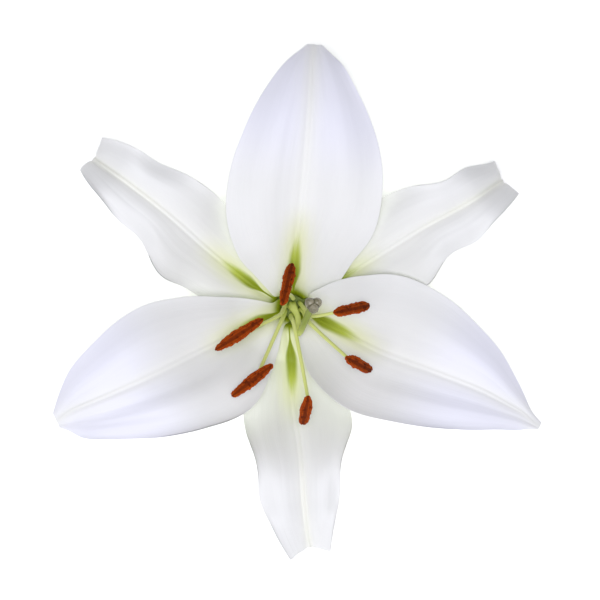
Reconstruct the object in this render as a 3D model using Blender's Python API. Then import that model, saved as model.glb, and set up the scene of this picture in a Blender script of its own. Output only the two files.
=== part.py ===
"""An oriental lily bloom as picked, lying face up on the tips of its three outer tepals.

Metres, +Z up. Seen from above, +Y is the side of the top inner tepal. Every length below is in
millimetres of a bloom 196 mm across, and MM turns it into metres, so the bloom grows with SPAN.
The origin is under the middle of the bloom's box, on the surface that it rests on.
"""

import math

import bpy
import numpy as np

SPAN = 0.196  # from the tip of the lower left inner tepal to the tip of the lower right one
MM = SPAN / 196

BLADE = 0.95  # thickness of a tepal between its rib and its margin
MARGIN = 0.70  # thickness of a tepal at its margin
RIB = 0.70  # how far the midrib stands out behind a tepal
RIB_WIDTH = 2.4  # how far the rib and the groove in front of it reach to each side
SEAT = 9.9  # height of the lowest points of tepals, filaments and ovary
PRESSED = 0.25  # a tip's face lower than this is pressed flat on the surface
GAP = 0.3  # clear space between two pieces that touch on the flower
SWEEP = 42.0  # reach within which a tepal curves round the flower's axis

# Reach from the flower's axis and height of the midrib at each station, from the base to the tip.
INNER_REACH = (4.9, 5.3, 6.3, 8.5, 13.2, 20.2, 30, 41.5, 54, 67, 79.5, 90.5, 99, 105)
INNER_HEIGHT = (SEAT, 15.5, 19.5, 23.0, 26.6, 30.2, 35.2, 40.6, 45, 47, 46.8, 44.2, 39.8, 34)
OUTER_REACH = (6.9, 7.3, 8.2, 10.5, 16.2, 23.5, 32.4, 42.4, 52.4, 64.4, 76.6, 87.8, 98, 97.6, 94.6, 90.8)
OUTER_HEIGHT = (SEAT, 14.5, 18, 20.5, 23.2, 26, 30, 35, 39.2, 41.8, 42.2, 40.7, 30, 15.5, 2.0, 0.2)
# How far the margin stands above the midrib at each station.
INNER_RISE = (0, 0, 0, 0.4, 0.8, 1.0, 0.8, 0.2, -1.0, -2.0, -2.4, -2.0, -1.2, -0.4)
OUTER_RISE = (0, 0, 0, 0.2, 0.2, 0, -0.3, -0.5, -0.5, 0, 0.6, 1.0, 0.6, 0.2, 0.2, 0)
# How far each half of the blade bulges between midrib and margin, and how deep the midrib's groove is.
INNER_BULGE = (0, 0, 0, 0.2, 0.6, 1.0, 1.4, 1.7, 1.8, 1.8, 1.6, 1.2, 0.7, 0.2)
OUTER_BULGE = (0, 0, 0, 0.2, 0.5, 0.8, 1.0, 1.2, 1.4, 1.6, 1.6, 1.4, 1.0, 0.6, 0.3, 0)
INNER_GROOVE = (0.3, 0.4, 0.6, 0.8, 0.8, 0.8, 0.7, 0.6, 0.5, 0.5, 0.5, 0.5, 0.4, 0.2)
OUTER_GROOVE = (0.3, 0.4, 0.6, 0.8, 0.8, 0.8, 0.8, 0.8, 0.8, 0.8, 0.9, 1.0, 1.1, 0.9, 0.3, 0)
# How far the two sides of an outer tepal fold forward about its midrib, as a channel does.
OUTER_CHANNEL = (0, 0, 0, 0, 0, 0, 0, 0.1, 0.3, 0.6, 1.0, 1.4, 1.8, 1.2, 0.4, 0)
# Half-widths of a base, where it stands round the ovary.
INNER_BASE = (3.75, 4.05, 5.0)
OUTER_BASE = (4.8, 5.2, 5.9)

# Each tepal: the bearing of its midrib in degrees from +X, how much nearer the left end of its tip is
# than the middle, the reach of its tip, how far the midrib bends to the left on the way there, its
# half-widths beyond the base, left and right of the midrib as seen from the flower's middle, the
# height of the waves along those two margins, and where the waves start. Sway is how far the midrib
# lies to the left of that line at each 20 mm of reach, lift how much higher the left and right margins
# lie near the throat, where tepals overlap, full how strongly the left and right halves bulge in the
# first half of the blade, raised how steeply their margins turn up, and sag how much lower the blade
# hangs between the throat and its highest place. Below 0 it stands that much higher.
INNER_TEPALS = {
    "inner_tepal_top": {
        "bearing": 85.8,
        "slant": 0.0,
        "tip": 105.5,
        "bend": -1.0,
        "left": (7.7, 11.3, 16.5, 23.8, 29.2, 28.9, 25.2, 20.7, 15.3, 9.2, 3.3),
        "right": (6.9, 11.2, 17.4, 23.3, 31.1, 32.2, 29.3, 23.8, 16.7, 10.5, 4.0),
        "wave": (0.7, 0.9),
        "phase": (0.4, 2.2),
        "sway": (0, 0.3, -0.8, -1.2, -0.9, 0),
        "lift": (0.0, -1.3),
        "full": (1.2, 1.4),
        "raised": (0.05, 0.0),
        "sag": 0.0,
    },
    "inner_tepal_lower_left": {
        "bearing": 205.2,
        "slant": 0.0,
        "tip": 105.2,
        "bend": 1.2,
        "left": (5.7, 9.3, 14.9, 22.6, 30.9, 29.9, 26.0, 20.4, 15.0, 9.0, 3.4),
        "right": (4.9, 7.7, 11.6, 16.5, 22.3, 25.8, 24.6, 20.5, 15.8, 9.8, 4.0),
        "wave": (1.1, 0.8),
        "phase": (1.3, 4.0),
        "sway": (-0.4, -0.3, 0.2, 0.6, 0, -1.2),
        "lift": (0.0, 0.0),
        "full": (2.8, 1.1),
        "raised": (0.42, 0.05),
        "sag": 4.0,
    },
    "inner_tepal_lower_right": {
        "bearing": 333.5,
        "slant": 0.0,
        "tip": 110.3,
        "bend": 1.2,
        "left": (7.6, 11.5, 17.0, 23.8, 30.8, 30.8, 26.9, 21.2, 12.3, 5.2, 2.0),
        "right": (6.5, 10.5, 16.0, 23.0, 27.0, 24.5, 20.5, 14.7, 8.7, 4.4, 1.6),
        "wave": (0.8, 1.0),
        "phase": (3.1, 0.2),
        "sway": (0, 0.1, -0.3, 2.0, 3.6, 2.4),
        "lift": (1.7, 0.0),
        "full": (1.1, 0.4),
        "raised": (0.0, 0.65),
        "sag": 1.5,
    },
}
OUTER_TEPALS = {
    "outer_tepal_upper_left": {
        "bearing": 143.4,
        "slant": -0.7,
        "tip": 99.4,
        "bend": 0.0,
        "left": (6.1, 9.8, 14.2, 18.4, 19.9, 21.3, 14.9, 13.8, 10.8, 7.2, 6.9, 5.6, 2.8),
        "right": (5.1, 7.1, 9.5, 11.6, 15.6, 17.7, 17.4, 14.3, 13.6, 9.0, 7.0, 5.4, 2.6),
        "wave": (2.8, 2.8),
        "phase": (5.7, 4.75),
        "sway": (1.5, 2.5, 1.8, 0, -0.6, 0),
        "lift": (0.0, 0.0),
        "full": (1.3, 1.0),
        "raised": (0.0, 0.0),
        "sag": 0.5,
    },
    "outer_tepal_upper_right": {
        "bearing": 30.7,
        "slant": 0.7,
        "tip": 98.3,
        "bend": 0.5,
        "left": (5.8, 7.4, 9.6, 11.9, 15.6, 19.1, 17.4, 12.6, 12.2, 9.0, 8.0, 6.0, 2.8),
        "right": (4.1, 6.6, 9.7, 13.2, 16.9, 20.3, 14.6, 15.3, 12.0, 8.4, 7.4, 5.8, 2.6),
        "wave": (2.5, 2.7),
        "phase": (2.0, 5.1),
        "sway": (-0.4, -0.4, 0.2, 0.6, -0.3, 0),
        "lift": (0.0, 0.0),
        "full": (1.0, 1.3),
        "raised": (0.0, 0.0),
        "sag": -0.4,
    },
    "outer_tepal_bottom": {
        "bearing": 272.3,
        "slant": 1.2,
        "tip": 96.8,
        "bend": 3.0,
        "left": (5.0, 8.7, 12.8, 17.0, 20.7, 22.1, 17.0, 14.6, 12.1, 8.4, 7.8, 5.6, 2.6),
        "right": (5.8, 9.1, 13.5, 17.7, 21.3, 21.1, 17.7, 17.2, 13.9, 9.0, 7.4, 5.0, 2.4),
        "wave": (2.6, 2.8),
        "phase": (4.5, 4.3),
        "sway": (-2.0, -1.4, -1.2, 0.6, 0.3, 0),
        "lift": (0.0, 0.0),
        "full": (1.2, 1.2),
        "raised": (0.2, 0.1),
        "sag": 9.0,
    },
}
INNER_WAVES = 3.2  # waves along the margin of an inner tepal
OUTER_WAVES = 4.5
ROWS_PER_STATION = 2
ACROSS = (-1, -0.87, -0.66, -0.42, -0.2, -0.07, 0.07, 0.2, 0.42, 0.66, 0.87, 1)

# Each stamen: the points that its filament runs through (sideways, up the picture, height), then the
# inner and outer end of its anther.
FILAMENT_FOOT = 3.25  # distance of a filament's foot from the flower's axis
FILAMENT = 0.66  # radius of a filament in the middle of its length
ANTHER_ACROSS = 2.15
ANTHER_DEEP = 1.85
STAMENS = {
    "top": {
        "foot": 85.8,
        "path": ((0.3, 3.2, 22), (0.2, 3.4, 31), (-0.5, 4.4, 43)),
        "anther": ((-3.8, 1.0, 69.5), (0.1, 17.8, 56.5)),
    },
    "left_upper": {
        "foot": 143.4,
        "path": ((-2.9, 1.4, 22), (-3.6, -1.0, 31), (-6.4, -4.2, 42)),
        "anther": ((-11.5, -4.8, 63.5), (-30.7, -17.3, 59.5)),
    },
    "left_lower": {
        "foot": 205.2,
        "path": ((-3.0, -1.7, 22), (-3.4, -3.4, 31), (-5.4, -8.0, 42)),
        "anther": ((-7.9, -22.9, 65.0), (-24.3, -35.7, 56.0)),
    },
    "bottom": {
        "foot": 272.3,
        "path": ((-0.4, -3.4, 22), (-0.6, -4.4, 31), (1.0, -9.0, 43)),
        "anther": ((6.3, -35.7, 69.0), (4.0, -47.3, 51.0)),
    },
    "right_lower": {
        "foot": 333.5,
        "path": ((3.2, -1.1, 22), (4.5, -2.3, 31), (7.6, -7.2, 42)),
        "anther": ((21.5, -20.1, 69.0), (31.9, -25.8, 51.0)),
    },
    "right_upper": {
        "foot": 30.7,
        "path": ((3.1, 1.2, 22), (4.6, -0.6, 31), (8.0, -3.8, 43)),
        "anther": ((16.7, -2.3, 68.0), (31.3, 0.7, 53.0)),
    },
}

# The pistil: points on its middle line and its radius there.
PISTIL_PATH = ((0, 0, SEAT), (0, 0, 14), (0, -0.1, 20), (0.5, -0.9, 25.5), (2.0, -3.8, 29.5),
               (2.4, -7.8, 33.5), (2.3, -10.6, 38.5), (3.4, -9.6, 45), (5.1, -5.8, 54),
               (6.8, -1.9, 63), (8.2, 0.7, 71))
PISTIL_RADIUS = (1.7, 2.05, 2.1, 1.6, 1.2, 1.2, 1.2, 1.25, 1.3, 1.35, 1.4)
OVARY_FLUTES = 6
OVARY_TOP = 3.4  # station of the pistil's path at which the ovary has become the style

# The stigma: its profile from the middle of its face, round its lobes, under to the socket that
# holds the style's end. Each point is a radius and a height above the style's end.
STIGMA_PROFILE = ((0.6, 2.5), (1.7, 2.75), (2.8, 2.4), (3.5, 1.2), (3.4, -0.3), (2.9, -1.4), (2.4, -2.0))
SOCKET_RADIUS = 1.4 + GAP
STIGMA_LOBES = 3
LOBE_DEPTH = 0.26

# The receptacle and the cut stalk under it, as radius and height from the cut upwards.
RECEPTACLE_PROFILE = ((0, 0.9), (2.3, 0.9), (2.6, 1.2), (2.6, 3.0), (2.9, 4.4), (4.3, 6.0), (6.6, 7.4),
                      (7.9, 8.5), (8.1, 9.0), (7.8, SEAT - GAP), (0, SEAT - GAP))
RECEPTACLE_SIDES = 36
FLUTE = 0.05  # the six shallow flutes of the receptacle, as a share of its radius

COLOURS = {
    "tepal": (0.90, 0.90, 0.88, 1),
    "filament": (0.56, 0.68, 0.33, 1),
    "anther": (0.30, 0.06, 0.01, 1),
    "style": (0.36, 0.46, 0.14, 1),
    "stigma": (0.27, 0.24, 0.20, 1),
    "receptacle": (0.33, 0.45, 0.12, 1),
}


def spline(points, t):
    """Values at station t of the Catmull-Rom curve through the points, which are stations 0, 1, 2..."""
    points = np.asarray(points, float)
    last = len(points) - 1
    k = np.clip(np.floor(t).astype(int), 0, last - 1)
    f = (t - k).reshape(-1, *[1] * (points.ndim - 1))
    a = points[np.maximum(k - 1, 0)]
    b = points[k]
    c = points[k + 1]
    d = points[np.minimum(k + 2, last)]
    return 0.5 * (2 * b + (c - a) * f + (2 * a - 5 * b + 4 * c - d) * f**2 + (3 * b - a - 3 * c + d) * f**3)


def rising(t, start, end):
    """0 before start, 1 after end, smooth between."""
    f = np.clip((t - start) / (end - start), 0, 1)
    return f * f * (3 - 2 * f)


def unit(vectors):
    return vectors / np.linalg.norm(vectors, axis=-1, keepdims=True)


def tepal_grids(tepal, reach, height, rise, bulge, groove, channel, base, waves):
    """The front and back points of a tepal's blade, each (rows, columns, 3) in millimetres.

    Row t crosses the midrib at reach r and height h. A point at share v of the half-width w lies
    l = bend + v w to the left and r - s(r) r (1 - cos(asin(v w / r))) - slant v (r / tip)^8 out, where
    s = 1 / (1 + (r / SWEEP)^6) turns the rows into arcs round the axis near the throat.
    Its height is h + rise v^2 + full bulge sin^2(pi v) + raised w v^2 / 2 + lift - sag, where raised,
    lift and sag fade in and out along the blade, and the midrib sways to the left between margins that
    stay. Groove, channel and waves then move it along the surface's normal.
    """
    t = np.linspace(0, len(reach) - 1, ROWS_PER_STATION * (len(reach) - 1) + 1)[:, None]
    v = np.array(ACROSS, float)[None, :]
    flat_t = t[:, 0]
    r = spline(reach, flat_t)[:, None]
    longest = max(reach)
    bend = tepal["bend"] * (r / longest) ** 4
    r = r * (1 + (tepal["tip"] / longest - 1) * (r / longest) ** 2)
    left = spline(base + tepal["left"], flat_t)[:, None]
    right = spline(base + tepal["right"], flat_t)[:, None]
    last = len(reach) - 1
    sway = spline(tepal["sway"], np.clip(spline(reach, flat_t) / 20, 0, 5))[:, None]
    sway = sway * (1 - rising(t, last - 1.5, last)) * rising(t, 0.5, 2.5)
    left = left - sway
    right = right + sway
    side = v * np.where(v > 0, left, right)
    turned = np.clip((side + sway) / r, -0.97, 0.97)
    sweep = 1 / (1 + (r / SWEEP) ** 6)
    out = r - sweep * r * (1 - np.sqrt(1 - turned**2)) - tepal["slant"] * v * (r / longest) ** 8
    up = spline(height, flat_t)[:, None] + spline(rise, flat_t)[:, None] * v**2
    full = 1 + (np.where(v > 0, tepal["full"][0], tepal["full"][1]) - 1) * (1 - rising(t, 6.5, 9.5))
    up = up + full * spline(bulge, flat_t)[:, None] * np.sin(math.pi * v) ** 2
    raised = np.where(v > 0, tepal["raised"][0], tepal["raised"][1]) * np.abs(side * v) / 2
    up = up + raised * rising(t, 4, 7) * (1 - rising(t, last - 2.2, last - 0.8))
    up = up - tepal["sag"] * rising(r, 8, 24) * (1 - rising(r, 34, 70))
    lift = np.where(v > 0, tepal["lift"][0], tepal["lift"][1]) * rising(np.abs(v), 0.3, 0.9)
    up = up + lift * rising(t, 2, 3.5) * (1 - rising(t, 5, 7))
    bearing = math.radians(tepal["bearing"])
    across = side + bend + sway
    x = out * math.cos(bearing) - across * math.sin(bearing)
    y = out * math.sin(bearing) + across * math.cos(bearing)
    middle = np.stack([x, y, up], axis=-1)
    normal = unit(np.cross(np.gradient(middle, axis=0), np.gradient(middle, axis=1)))

    rib = np.exp(-((side / RIB_WIDTH) ** 2))
    turn = 2 * math.pi * waves * t / last
    wave_left = tepal["wave"][0] * np.sin(turn + tepal["phase"][0])
    wave_right = tepal["wave"][1] * np.sin(turn + tepal["phase"][1])
    wave = np.where(v > 0, wave_left, wave_right) * np.abs(v) ** 3
    wave = wave * rising(t, 5, 8.5) * (1 - rising(t, last - 2.5, last - 0.5))
    moved = wave - spline(groove, flat_t)[:, None] * rib
    moved = moved + spline(channel, flat_t)[:, None] * np.abs(v) ** 1.5
    middle = middle + normal * moved[..., None]

    half = (BLADE + (MARGIN - BLADE) * v**4) / 2 + 0 * t
    behind = half + RIB * rib * (1 - rising(t, last - 4, last - 0.5)) * rising(t, 1, 4)
    front = middle + normal * half[..., None]
    back = middle - normal * behind[..., None]
    pressed = front[..., 2] < PRESSED
    front[..., 2] = np.where(pressed, 0, front[..., 2])
    back[..., 2] = np.where(pressed, np.maximum(back[..., 2], MARGIN), back[..., 2])
    return front, back


def blade_mesh(front, back):
    """Points and triangles of the solid between two grids, both cut into triangles alike."""
    rows, columns = front.shape[:2]
    points = np.concatenate([front.reshape(-1, 3), back.reshape(-1, 3)])
    number = np.arange(rows * columns).reshape(rows, columns)
    a = number[:-1, :-1].ravel()
    b = number[1:, :-1].ravel()
    c = number[1:, 1:].ravel()
    d = number[:-1, 1:].ravel()
    faces = [np.stack([a, b, c], 1), np.stack([a, c, d], 1)]
    lower = rows * columns
    faces += [np.stack([a, c, b], 1) + lower, np.stack([a, d, c], 1) + lower]
    rim = np.concatenate([number[:-1, 0], number[-1, :-1], number[:0:-1, -1], number[0, :0:-1]])
    after = np.roll(rim, -1)
    faces += [np.stack([rim, rim + lower, after + lower], 1), np.stack([rim, after + lower, after], 1)]
    return points, np.concatenate(faces)


def frames_along(path):
    """For each point of a path, its direction and two directions across it that don't twist."""
    along = unit(np.gradient(path, axis=0))
    first = np.zeros_like(along)
    across = np.cross(along[0], (0.0, 1.0, 0.0))
    for k, direction in enumerate(along):
        across = across - direction * (across @ direction)
        across = across / np.linalg.norm(across)
        first[k] = across
    return along, first, np.cross(along, first)


def ringed_mesh(rings, start, end):
    """Points and triangles of the solid through rings of equally many points, with a point at each end."""
    count, around = rings.shape[:2]
    points = np.concatenate([rings.reshape(-1, 3), [start, end]])
    number = np.arange(count * around).reshape(count, around)
    following = np.roll(number, -1, axis=1)
    a = number[:-1].ravel()
    b = following[:-1].ravel()
    c = following[1:].ravel()
    d = number[1:].ravel()
    first = np.full(around, count * around)
    last = first + 1
    faces = [np.stack([a, b, c], 1), np.stack([a, c, d], 1)]
    faces += [np.stack([first, following[0], number[0]], 1), np.stack([last, number[-1], following[-1]], 1)]
    return points, np.concatenate(faces)


def tube_mesh(path, radius):
    """A round solid along a path. The radius is (points of the path, points around)."""
    _, first, second = frames_along(path)
    angle = np.linspace(0, 2 * math.pi, radius.shape[1], endpoint=False)
    ring = np.cos(angle)[None, :, None] * first[:, None] + np.sin(angle)[None, :, None] * second[:, None]
    rings = path[:, None] + ring * radius[..., None]
    return ringed_mesh(rings, path[0], path[-1])


def filament_mesh(stamen):
    """A slender stalk from its foot on the receptacle to just behind the middle of its anther."""
    foot = math.radians(stamen["foot"])
    x = FILAMENT_FOOT * math.cos(foot)
    y = FILAMENT_FOOT * math.sin(foot)
    inner, outer = np.array(stamen["anther"])
    _, _, face = anther_axes(stamen)
    held = (inner + outer) / 2 - face * (ANTHER_DEEP * 0.84 + GAP)
    before = held - face * 5.0
    points = [(x, y, SEAT), (1.02 * x, 1.02 * y, 15), *stamen["path"], before, held]
    t = np.linspace(0, len(points) - 1, 15)
    path = spline(points, t)
    taper = np.interp(t / t[-1], (0, 0.1, 0.5, 0.9, 1), (0.78, 0.72, FILAMENT, 0.52, 0.3))
    return tube_mesh(path, np.repeat(taper[:, None], 8, axis=1))


def anther_axes(stamen):
    """Directions along an anther, across it, and out of its face."""
    inner, outer = np.array(stamen["anther"], float)
    along = unit(outer - inner)
    across = unit(np.cross((0.0, 0.0, 1.0), along))
    return along, across, np.cross(along, across)


def anther_mesh(stamen, number):
    """A long pollen sac: two ridges with a furrow before and behind, ends rounded, a little bowed."""
    inner, outer = np.array(stamen["anther"], float)
    along, across, face = anther_axes(stamen)
    half_length = np.linalg.norm(outer - inner) / 2
    s = np.sin(np.linspace(-1, 1, 12) * math.pi / 2 * 0.97)[:, None]
    angle = np.linspace(0, 2 * math.pi, 12, endpoint=False)[None, :]
    fullness = (1 - np.abs(s) ** 2.3) ** 0.62 * (1 + 0.07 * np.sin(5 * s + number))
    furrow = 1 - 0.30 * np.exp(-((np.abs(np.sin(angle)) - 1) / 0.10) ** 2)
    wide = ANTHER_ACROSS * fullness * np.cos(angle)
    deep = ANTHER_DEEP * fullness * np.sin(angle) * furrow
    bow = 0.9 * s**2
    middle = (inner + outer) / 2
    rings = (
        middle
        + along * (s * half_length)[..., None]
        + across * wide[..., None]
        + face * (deep - bow)[..., None]
    )
    start = middle - along * half_length - face * 0.9
    end = middle + along * half_length - face * 0.9
    return ringed_mesh(rings, start, end)


def pistil_mesh():
    """Ovary and style in one: six flutes down the ovary fade out where it narrows to the style."""
    t = np.concatenate([np.linspace(0, 5, 14), np.linspace(5.4, len(PISTIL_PATH) - 1, 11)])
    path = spline(PISTIL_PATH, t)
    radius = spline(PISTIL_RADIUS, t)[:, None]
    angle = np.linspace(0, 2 * math.pi, 18, endpoint=False)[None, :]
    flute = 0.09 * (1 - rising(t[:, None], OVARY_TOP - 1, OVARY_TOP)) * np.cos(OVARY_FLUTES * angle)
    return tube_mesh(path, radius * (1 + flute))


def stigma_mesh():
    """Three rounded lobes round a hollow, with a socket underneath that the style's end stands in."""
    path = np.array(PISTIL_PATH, float)
    end = path[-1]
    up = unit(path[-1] - path[-2])
    across = unit(np.cross((0.0, 1.0, 0.0), up))
    other = np.cross(up, across)
    angle = np.linspace(0, 2 * math.pi, 24, endpoint=False)
    profile = spline(STIGMA_PROFILE, np.linspace(0, len(STIGMA_PROFILE) - 1, 11))
    wall = [(SOCKET_RADIUS, -2.0), (SOCKET_RADIUS, GAP - 0.7), (SOCKET_RADIUS, GAP)]
    profile = np.concatenate([profile, wall])
    lobed = np.clip(profile[:, 0] - 2.0, 0, 1.2) / 1.2
    lobed[-3:] = 0
    dent = 0.5 - 0.5 * np.cos(STIGMA_LOBES * (angle - math.radians(150)))
    radius = profile[:, :1] * (1 - LOBE_DEPTH * lobed[:, None] * dent[None, :] ** 1.5)
    rise = profile[:, 1:] - 0.9 * dent[None, :] * rising(profile[:, :1], 0.6, 2.8) * (profile[:, 1:] > 0.5)
    rings = (
        end
        + across * (radius * np.cos(angle))[..., None]
        + other * (radius * np.sin(angle))[..., None]
        + up * rise[..., None]
    )
    return ringed_mesh(rings[::-1], end + up * GAP, end + up * 2.2)


def receptacle_mesh():
    """The receptacle, turned about the flower's axis, with six shallow flutes, and the stalk cut flat."""
    inner = np.array(RECEPTACLE_PROFILE[1:-1])
    angle = np.linspace(0, 2 * math.pi, RECEPTACLE_SIDES, endpoint=False)[None, :]
    flute = FLUTE * rising(inner[:, 1:], 4, 7) * (1 - rising(inner[:, 1:], 8.4, 9.2)) * np.cos(6 * angle)
    radius = inner[:, :1] * (1 + flute)
    height = np.repeat(inner[:, 1:], RECEPTACLE_SIDES, axis=1)
    rings = np.stack([radius * np.cos(angle), radius * np.sin(angle), height], axis=-1)
    low = (0, 0, RECEPTACLE_PROFILE[0][1])
    high = (0, 0, RECEPTACLE_PROFILE[-1][1])
    return ringed_mesh(rings, low, high)


def material(slot):
    made = bpy.data.materials.get(slot) or bpy.data.materials.new(slot)
    made.use_nodes = True
    shader = made.node_tree.nodes["Principled BSDF"]
    shader.inputs["Base Color"].default_value = COLOURS[slot]
    shader.inputs["Roughness"].default_value = 0.5
    return made


def add_object(name, slot, points, faces):
    """Adds one piece, in millimetres, as an object in metres."""
    mesh = bpy.data.meshes.new(name)
    mesh.from_pydata((points * MM).tolist(), [], faces.tolist())
    mesh.update()
    mesh.materials.append(material(slot))
    mesh.polygons.foreach_set("use_smooth", np.ones(len(mesh.polygons), bool))
    made = bpy.data.objects.new(name, mesh)
    bpy.context.scene.collection.objects.link(made)
    return made


def main():
    for old in list(bpy.data.objects):
        bpy.data.objects.remove(old, do_unlink=True)
    pieces = []
    for name, tepal in INNER_TEPALS.items():
        grids = tepal_grids(
            tepal, INNER_REACH, INNER_HEIGHT, INNER_RISE, INNER_BULGE, INNER_GROOVE,
            (0,) * len(INNER_REACH), INNER_BASE, INNER_WAVES,
        )
        pieces.append((name, "tepal", *blade_mesh(*grids)))
    for name, tepal in OUTER_TEPALS.items():
        grids = tepal_grids(
            tepal, OUTER_REACH, OUTER_HEIGHT, OUTER_RISE, OUTER_BULGE, OUTER_GROOVE,
            OUTER_CHANNEL, OUTER_BASE, OUTER_WAVES,
        )
        pieces.append((name, "tepal", *blade_mesh(*grids)))
    for number, (name, stamen) in enumerate(STAMENS.items()):
        pieces.append(("filament_" + name, "filament", *filament_mesh(stamen)))
        pieces.append(("anther_" + name, "anther", *anther_mesh(stamen, number)))
    pieces.append(("pistil", "style", *pistil_mesh()))
    pieces.append(("stigma", "stigma", *stigma_mesh()))
    pieces.append(("receptacle", "receptacle", *receptacle_mesh()))
    every = np.concatenate([points for _, _, points, _ in pieces])
    low = every.min(axis=0)
    high = every.max(axis=0)
    centre = np.array([(low[0] + high[0]) / 2, (low[1] + high[1]) / 2, 0])
    for name, slot, points, faces in pieces:
        add_object(name, slot, points - centre, faces)


main()
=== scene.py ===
"""An oriental lily bloom, dressed for a close look: six waved tepals with green nectary furrows, six
stamens with rust-brown anthers, and the pistil with its grey stigma, face up on a pale floor.

Lengths are in millimetres of a bloom 196 mm across unless a comment says metres. MM turns them
into metres.
"""

import math

import bpy
import numpy as np
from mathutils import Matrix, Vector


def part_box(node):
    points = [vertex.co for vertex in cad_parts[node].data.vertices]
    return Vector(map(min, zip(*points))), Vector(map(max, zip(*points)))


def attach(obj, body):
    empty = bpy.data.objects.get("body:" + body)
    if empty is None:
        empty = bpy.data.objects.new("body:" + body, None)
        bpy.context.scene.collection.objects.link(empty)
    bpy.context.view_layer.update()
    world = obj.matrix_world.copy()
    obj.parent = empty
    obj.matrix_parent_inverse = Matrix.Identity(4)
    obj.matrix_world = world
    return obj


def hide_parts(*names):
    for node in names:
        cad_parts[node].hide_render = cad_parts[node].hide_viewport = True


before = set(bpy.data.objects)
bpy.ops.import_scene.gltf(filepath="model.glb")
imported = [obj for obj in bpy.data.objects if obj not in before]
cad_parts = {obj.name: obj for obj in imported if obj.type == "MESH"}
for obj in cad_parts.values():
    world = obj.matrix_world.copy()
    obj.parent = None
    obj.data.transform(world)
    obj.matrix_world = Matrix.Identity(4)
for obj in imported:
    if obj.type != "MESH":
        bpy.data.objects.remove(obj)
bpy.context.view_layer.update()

bl_info = {
    "name": "Oriental Lily Bloom",
    "version": (1, 0, 0),
    "blender": (4, 5, 0),
    "location": "View3D > Sidebar > Lily",
    "description": "Dresses the frame of an oriental lily bloom with fine tepals, stamens and pistil",
    "category": "Object",
}

SPAN = 0.196  # metres, from the tip of the lower left inner tepal to the tip of the lower right one
MM = SPAN / 196
SEED = 11
LATTICE = 32  # cells along each side of the noise, after which it repeats

RECEPTACLE_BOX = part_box("receptacle")
AXIS = (RECEPTACLE_BOX[0] + RECEPTACLE_BOX[1]) / 2  # the flower's axis, in metres

SEAT = 9.9  # height of the lowest points of tepals, filaments and ovary
GAP = 0.3  # clear space that the frame leaves between touching pieces, closed here
SUNK = GAP + 0.25  # how far a piece reaches into what carries it
SWEEP = 42.0  # reach within which a tepal curves round the flower's axis
PRESSED = 0.25  # a tip's face lower than this is pressed flat on the surface
RIB_WIDTH = 2.4  # how far the rib behind a tepal reaches to each side
GROOVE_WIDTH = 1.7  # how far the groove in front of the rib reaches to each side
RIDGE = 0.7  # height of the fine ridge in the groove, as a share of its depth
RIDGE_WIDTH = 0.75
CORNER = 0.7  # how far the corners of a tip bend back
LIP = 0.18  # width of a tepal's rounded margin
END = 0.06  # stations that a tepal's rounded ends take up
PLEATS = 7  # fine pleats on each side of a midrib

# The two kinds of tepal. Each row of numbers runs from the base to the tip, one number a station. Rise
# is how much higher the margins lie than the midrib, bulge how far the middle of each half stands
# above that, groove how deep the groove in front is, channel how far the margins come forward, and
# base the first three half-widths, which are the same on both sides. Waves are counted along a margin.
INNER_FORM = {
    "reach": (4.9, 5.3, 6.3, 8.5, 13.2, 20.2, 30, 41.5, 54, 67, 79.5, 90.5, 99, 105),
    "height": (SEAT, 15.5, 19.5, 23.0, 26.6, 30.2, 35.2, 40.6, 45, 47, 46.8, 44.2, 39.8, 34),
    "rise": (0, 0, 0, 0.4, 0.8, 1.0, 0.8, 0.2, -1.0, -2.0, -2.4, -2.0, -1.2, -0.4),
    "bulge": (0, 0, 0, 0.2, 0.6, 1.0, 1.4, 1.7, 1.8, 1.8, 1.6, 1.2, 0.7, 0.2),
    "groove": (0.3, 0.4, 0.6, 0.8, 0.8, 0.8, 0.7, 0.6, 0.5, 0.5, 0.5, 0.5, 0.4, 0.2),
    "channel": (0,) * 14,
    "base": (3.75, 4.05, 5.0),
    "waves": 3.2,
}
OUTER_FORM = {
    "reach": (6.9, 7.3, 8.2, 10.5, 16.2, 23.5, 32.4, 42.4, 52.4, 64.4, 76.6, 87.8, 98, 97.6, 94.6, 90.8),
    "height": (SEAT, 14.5, 18, 20.5, 23.2, 26, 30, 35, 39.2, 41.8, 42.2, 40.7, 30, 15.5, 2.0, 0.2),
    "rise": (0, 0, 0, 0.2, 0.2, 0, -0.3, -0.5, -0.5, 0, 0.6, 1.0, 0.6, 0.2, 0.2, 0),
    "bulge": (0, 0, 0, 0.2, 0.5, 0.8, 1.0, 1.2, 1.4, 1.6, 1.6, 1.4, 1.0, 0.6, 0.3, 0),
    "groove": (0.3, 0.4, 0.6, 0.8, 0.8, 0.8, 0.8, 0.8, 0.8, 0.8, 0.9, 1.0, 1.1, 0.9, 0.3, 0),
    "channel": (0, 0, 0, 0, 0, 0, 0, 0.1, 0.3, 0.6, 1.0, 1.4, 1.8, 1.2, 0.4, 0),
    "base": (4.8, 5.2, 5.9),
    "waves": 4.5,
}

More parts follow.
